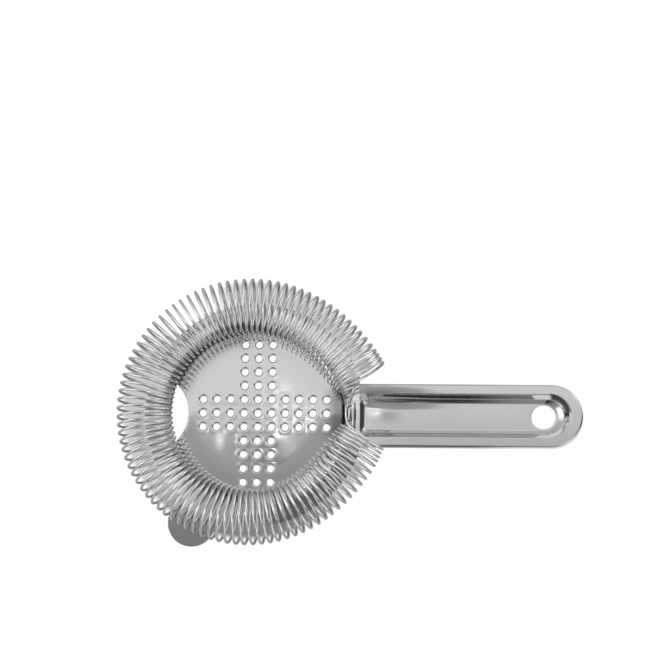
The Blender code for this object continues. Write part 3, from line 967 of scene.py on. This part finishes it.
def steel(name, tone, roughness, grain_stretch, bump_height, along_wire=False, painted_shade_zones=None):
    """Polished stainless steel: clouded tone, faint grain, stray scratches, lighter convex edges and
    zones of painted shade.
    """
    material = bpy.data.materials.new(name)
    material.use_nodes = True
    tree = material.node_tree
    shader = tree.nodes["Principled BSDF"]
    source = node(tree, "ShaderNodeTexCoord")
    place = source.outputs["Object"]
    grain_place = source.outputs["UV"] if along_wire else place
    cloud = noise_node(tree, place, 70.0, 4.0, 0.55)
    smear = noise_node(tree, place, 420.0, 3.0, 0.6)
    grain_map = node(tree, "ShaderNodeMapping", Vector=grain_place, Scale=grain_stretch)
    grain = noise_node(tree, grain_map.outputs[0], 1.0, 4.0, 0.65)
    lines = scratches(tree, place, 0.5, (60.0, 4200.0, 60.0), 0.33)
    cross = scratches(tree, place, -0.9, (50.0, 3600.0, 50.0), 0.31)
    # The colour is made lighter at convex edges.
    convexity = node(tree, "ShaderNodeNewGeometry").outputs["Pointiness"]
    edge = ramp(tree, convexity, [(0.0, 0.0), (0.52, 0.0), (0.6, 1.0), (1.0, 1.0)])
    base = multiply_add(tree, cloud, 0.05, tone - 0.025)
    bright = multiply_add(tree, edge, 0.06, base)
    marks = math_node(tree, "ADD", lines, cross)
    final = multiply_add(tree, marks, -0.035, bright)
    # Painted shade: the zones darken the colour here, and below they also roughen the steel.
    painted_shade = painted_zone_shade(tree, place, painted_shade_zones) if painted_shade_zones else 0.0
    final = math_node(tree, "MULTIPLY", final, math_node(tree, "SUBTRACT", 1.0, painted_shade))
    blue = math_node(tree, "MULTIPLY", final, 0.995)
    colour = node(tree, "ShaderNodeCombineColor", Red=final, Green=final, Blue=blue)
    tree.links.new(colour.outputs[0], shader.inputs["Base Color"])
    rough = multiply_add(tree, smear, roughness * 0.9, roughness * 0.45)
    rough = multiply_add(tree, marks, 0.12, rough)
    matt = math_node(tree, "MAXIMUM", math_node(tree, "SUBTRACT", painted_shade, 0.5), 0.0)
    rough = math_node(tree, "ADD", rough, matt)
    tree.links.new(rough, shader.inputs["Roughness"])
    shader.inputs["Metallic"].default_value = 1.0
    relief = math_node(tree, "SUBTRACT", grain, marks)
    relief_bump = node(tree, "ShaderNodeBump", Height=relief, Distance=bump_height, Strength=0.6)
    tree.links.new(relief_bump.outputs[0], shader.inputs["Normal"])
    return material


# The floor's painted shade: its scale in m, the directions it faces, and its centre from the plate's in
# mm.
FLOOR_SCALE = 0.1
OPEN_ANGLE = math.radians(124.0)
DARK_SIDE = (0.26, -0.966, 0.0)
SHADE_CENTRE = (RING_CENTRE_X - 1.6, 2.0, 0.0)


def floor_material():
    """Lit white table: glowing to the eye with a soft painted shade under the coil; greyer in
    reflections, with painted shade under the strainer there.
    """
    material = bpy.data.materials.new("pale_floor")
    material.use_nodes = True
    tree = material.node_tree
    shader = tree.nodes["Principled BSDF"]
    shader.inputs["Base Color"].default_value = (0.08, 0.08, 0.08, 1.0)
    shader.inputs["Roughness"].default_value = 0.9
    shader.inputs["Specular IOR Level"].default_value = 0.0
    shader.inputs["Emission Color"].default_value = (1.0, 1.0, 1.0, 1.0)
    centre = ORIGIN + Vector(SHADE_CENTRE) * MM
    place = node(tree, "ShaderNodeNewGeometry").outputs["Position"]
    level = vector_math(tree, "MULTIPLY", place, (1.0, 1.0, 0.0))
    away = vector_math(tree, "SUBTRACT", level, (centre.x, centre.y, 0.0))
    reach = vector_length(tree, away)
    distance = math_node(tree, "DIVIDE", reach, FLOOR_SCALE)
    # Painted shade that only the camera sees: a ring under the coil, open where the loops are edge-on
    # and by the handle, deepest toward DARK_SIDE.
    ring_stops = [(0.0, 0.0), (0.33, 0.0), (0.36, 1.0), (0.42, 1.0), (0.4425, 0.0)]
    ring = ramp(tree, distance, ring_stops, "EASE")
    across = (math.sin(OPEN_ANGLE), -math.cos(OPEN_ANGLE), 0.0)
    side = math_node(tree, "ABSOLUTE", dot_product(tree, away, across))
    side = math_node(tree, "DIVIDE", side, reach)
    closed = ramp(tree, side, [(0.0, 0.0), (0.2, 0.0), (0.5, 1.0)], "EASE")
    below = math_node(tree, "DIVIDE", dot_product(tree, away, DARK_SIDE), reach)
    front = ramp(tree, below, [(0.0, 0.0), (0.82, 0.0), (0.9, 1.0)])
    shade = math_node(tree, "MULTIPLY", ring, math_node(tree, "MAXIMUM", closed, front))
    ahead = node(tree, "ShaderNodeSeparateXYZ", Vector=away).outputs["X"]
    toward_handle = math_node(tree, "DIVIDE", ahead, reach)
    open_end = ramp(tree, toward_handle, [(0.0, 1.0), (0.88, 1.0), (0.93, 0.0)], "EASE")
    shade = math_node(tree, "MULTIPLY", shade, open_end)
    depth = ramp(tree, below, [(0.0, 0.42), (0.3, 0.42), (0.85, 0.78)], "EASE")
    shown = math_node(tree, "SUBTRACT", 0.97, math_node(tree, "MULTIPLY", shade, depth))
    # In reflections the floor is painted greyer: darkest under the strainer, lighter beyond it toward
    # +X.
    mirrored = ramp(tree, distance, [(0.0, 0.15), (0.3, 0.18), (0.5, 0.3), (0.7, 0.4)])
    beyond = ramp(tree, math_node(tree, "DIVIDE", ahead, 0.2), [(0.0, 0.0), (0.3, 0.0), (0.45, 0.85)])
    mirrored = math_node(tree, "MAXIMUM", mirrored, beyond)
    seen = node(tree, "ShaderNodeLightPath").outputs["Is Camera Ray"]
    glow = mix_floats(tree, seen, mirrored, shown)
    tree.links.new(glow, shader.inputs["Emission Strength"])
    return material


def spherical(azimuth, elevation):
    a, e = math.radians(azimuth), math.radians(elevation)
    return math.cos(a) * math.cos(e), math.sin(a) * math.cos(e), math.sin(e)


def mirrored_in_pan(x, y):
    """Direction that the pan's top shows to the camera at a place on the plate."""
    normal = Vector(upward(*slopes(pan_base, np.array([x]), np.array([y])))[0])
    to_camera = (CAMERA_PLACE - ORIGIN - Vector((x, y, PAN_TOP)) * MM).normalized()
    return 2.0 * normal.dot(to_camera) * normal - to_camera


def lamp(tree, direction, centre, reach, glow, level):
    """Adds a soft-edged round light to the tent, or a dark shape where the glow is negative."""
    gap = vector_length(tree, vector_math(tree, "SUBTRACT", direction, tuple(centre)))
    gap = math_node(tree, "DIVIDE", gap, reach)
    lit = ramp(tree, gap, [(0.0, 1.0), (0.3, 1.0), (1.0, 0.0)], "EASE")
    return multiply_add(tree, lit, glow, level)


# Azimuth and elevation in degrees, reach and brightness.
SOFTBOXES = (
    (37, 63, 0.3, 0.5),
    (307, 63, 0.25, 1.6),
    (185, 40, 0.42, 1.05),
    (35, 4, 0.6, 0.8),
    (172, 6, 0.45, 0.8),
)
# Place on the pan and reach in mm, and brightness, of the lights and dark shapes its top mirrors.
PAN_GLINTS = (
    (9.6, 8.0, 4.0, 0.35),
    (11.4, 2.5, 4.0, 0.5),
    (11.4, -3.5, 4.0, 0.6),
    (9.4, -7.2, 4.5, 2.0),
    (-11.5, -8.0, 6.0, 0.5),
    (-11.0, -11.0, 4.5, 0.3),
    (11.5, -11.0, 6.0, 0.4),
    (7.0, -17.0, 10.0, -0.16),
    (-21.0, -2.0, 7.0, -0.2),
)
# How far a mirrored direction turns, as a share of a radian, for a millimetre on the pan.
GLINT_SCALE = 0.00275
# Place across the tent, from its front at -Y to its back at +Y, and brightness there.
BANDS = (
    (-1.25, 0.6),
    (-0.965, 0.6),
    (-0.945, 0.04),
    (-0.55, 0.05),
    (-0.35, 0.22),
    (-0.1, 0.37),
    (0.06, 0.45),
    (0.095, 0.56),
    (0.114, 0.9),
    (0.3, 0.83),
    (0.5, 0.7),
    (1.25, 0.52),
)
BAND_SCALE = 0.4
BAND_MIDDLE = 0.5


def studio_world():
    """Light tent: bright toward +Y, dim overhead, nearly black low in front, with lamps and glints."""
    world = bpy.data.worlds.new("studio")
    bpy.context.scene.world = world
    world.use_nodes = True
    tree = world.node_tree
    background = tree.nodes["Background"]
    direction = node(tree, "ShaderNodeTexCoord").outputs["Generated"]
    axes = node(tree, "ShaderNodeSeparateXYZ", Vector=direction)
    x, y = axes.outputs["X"], axes.outputs["Y"]
    square = multiply_add(tree, x, x, math_node(tree, "MULTIPLY", y, y))
    spread = math_node(tree, "SQRT", square)
    turned = ramp(tree, spread, [(0.0, 0.0), (0.22, 0.0), (0.55, 0.75)], "EASE")
    toward = math_node(tree, "SUBTRACT", y, math_node(tree, "MULTIPLY", x, turned))
    position = multiply_add(tree, toward, BAND_SCALE, BAND_MIDDLE)
    level = ramp(tree, position, [(BAND_MIDDLE + BAND_SCALE * s, glow) for s, glow in BANDS])
    for azimuth, elevation, reach, glow in SOFTBOXES:
        level = lamp(tree, direction, spherical(azimuth, elevation), reach, glow, level)
    for pan_x, pan_y, reach, glow in PAN_GLINTS:
        shown = mirrored_in_pan(pan_x, pan_y)
        level = lamp(tree, direction, shown, reach * GLINT_SCALE, glow, level)
    half_x = multiply_add(tree, x, 0.5, 0.5)
    right_side = ramp(tree, half_x, [(0.0, 0.0), (0.4735, 0.0), (0.4755, 0.28)])
    minus_y = math_node(tree, "MULTIPLY", y, -1.0)
    low_front = ramp(tree, minus_y, [(0.0, 0.0), (0.15, 0.0), (0.3, 1.0)])
    level = multiply_add(tree, right_side, low_front, level)
    camera_ray = node(tree, "ShaderNodeLightPath").outputs["Is Camera Ray"]
    seen = mix_floats(tree, camera_ray, level, 0.93)
    tree.links.new(seen, background.inputs["Color"])
    background.inputs["Strength"].default_value = 1.0


# ---------------------------------------------------------------- assembly

plate = head_plate()
lug = bent_lug()
grip = handle()
tab = rounded_tab()
spring = coil_spring()

plate_steel = steel(
    "plate_steel",
    tone=0.68,
    roughness=0.05,
    grain_stretch=(900.0, 900.0, 900.0),
    bump_height=0.0000012,
    painted_shade_zones=PLATE_PAINTED_SHADE_ZONES,
)
handle_steel = steel(
    "handle_steel",
    tone=0.66,
    roughness=0.07,
    grain_stretch=(160.0, 5200.0, 160.0),
    bump_height=0.0000016,
    painted_shade_zones=HANDLE_PAINTED_SHADE_ZONES,
)
# Painted shade: the tab's steel is nearly black, standing in for the dark seen through the lug slot.
tab_painted_shade_steel = steel(
    "tab_painted_shade_steel",
    tone=0.06,
    roughness=0.3,
    grain_stretch=(900.0, 900.0, 900.0),
    bump_height=0.000002,
)
spring_steel = steel(
    "spring_steel",
    tone=0.84,
    roughness=0.16,
    grain_stretch=(400.0, 26.0, 1.0),
    bump_height=0.000004,
    along_wire=True,
)

for piece, material, slot in (
    (plate, plate_steel, "plate_steel"),
    (lug, plate_steel, "plate_steel"),
    (grip, handle_steel, "handle_steel"),
    (tab, tab_painted_shade_steel, "handle_steel"),
    (spring, spring_steel, "spring_steel"),
):
    piece.data.materials.append(material)

for piece in (plate, lug, grip, tab):
    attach(piece, "strainer")
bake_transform(spring)
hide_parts("head_plate")
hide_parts("handle")
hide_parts("coil_spring")

# ---------------------------------------------------------------- stage

FLOOR_SIZE = 6.0
FLOOR_DROP = 0.0003
bpy.ops.mesh.primitive_plane_add(size=FLOOR_SIZE, location=(0.0, 0.0, cad_low.z - FLOOR_DROP))
floor = bpy.context.object
floor.name = "floor"
floor.data.materials.append(floor_material())

studio_world()

camera = bpy.data.objects.new("camera", bpy.data.cameras.new("camera"))
bpy.context.collection.objects.link(camera)
camera.data.sensor_width = CAMERA_SENSOR
camera.data.lens = CAMERA_LENS
level_right = Vector((0.0, 0.0, 1.0)).cross(CAMERA_BACK).normalized()
level_up = CAMERA_BACK.cross(level_right)
right = level_right * math.cos(CAMERA_ROLL) + level_up * math.sin(CAMERA_ROLL)
up = CAMERA_BACK.cross(right)
camera.matrix_world = Matrix.Translation(CAMERA_PLACE) @ Matrix(
    (
        (right.x, up.x, CAMERA_BACK.x),
        (right.y, up.y, CAMERA_BACK.y),
        (right.z, up.z, CAMERA_BACK.z),
    )
).to_4x4()
camera.data.clip_start = 0.01
camera.data.clip_end = 20.0
bpy.context.scene.camera = camera
bpy.context.scene.view_settings.view_transform = "Standard"
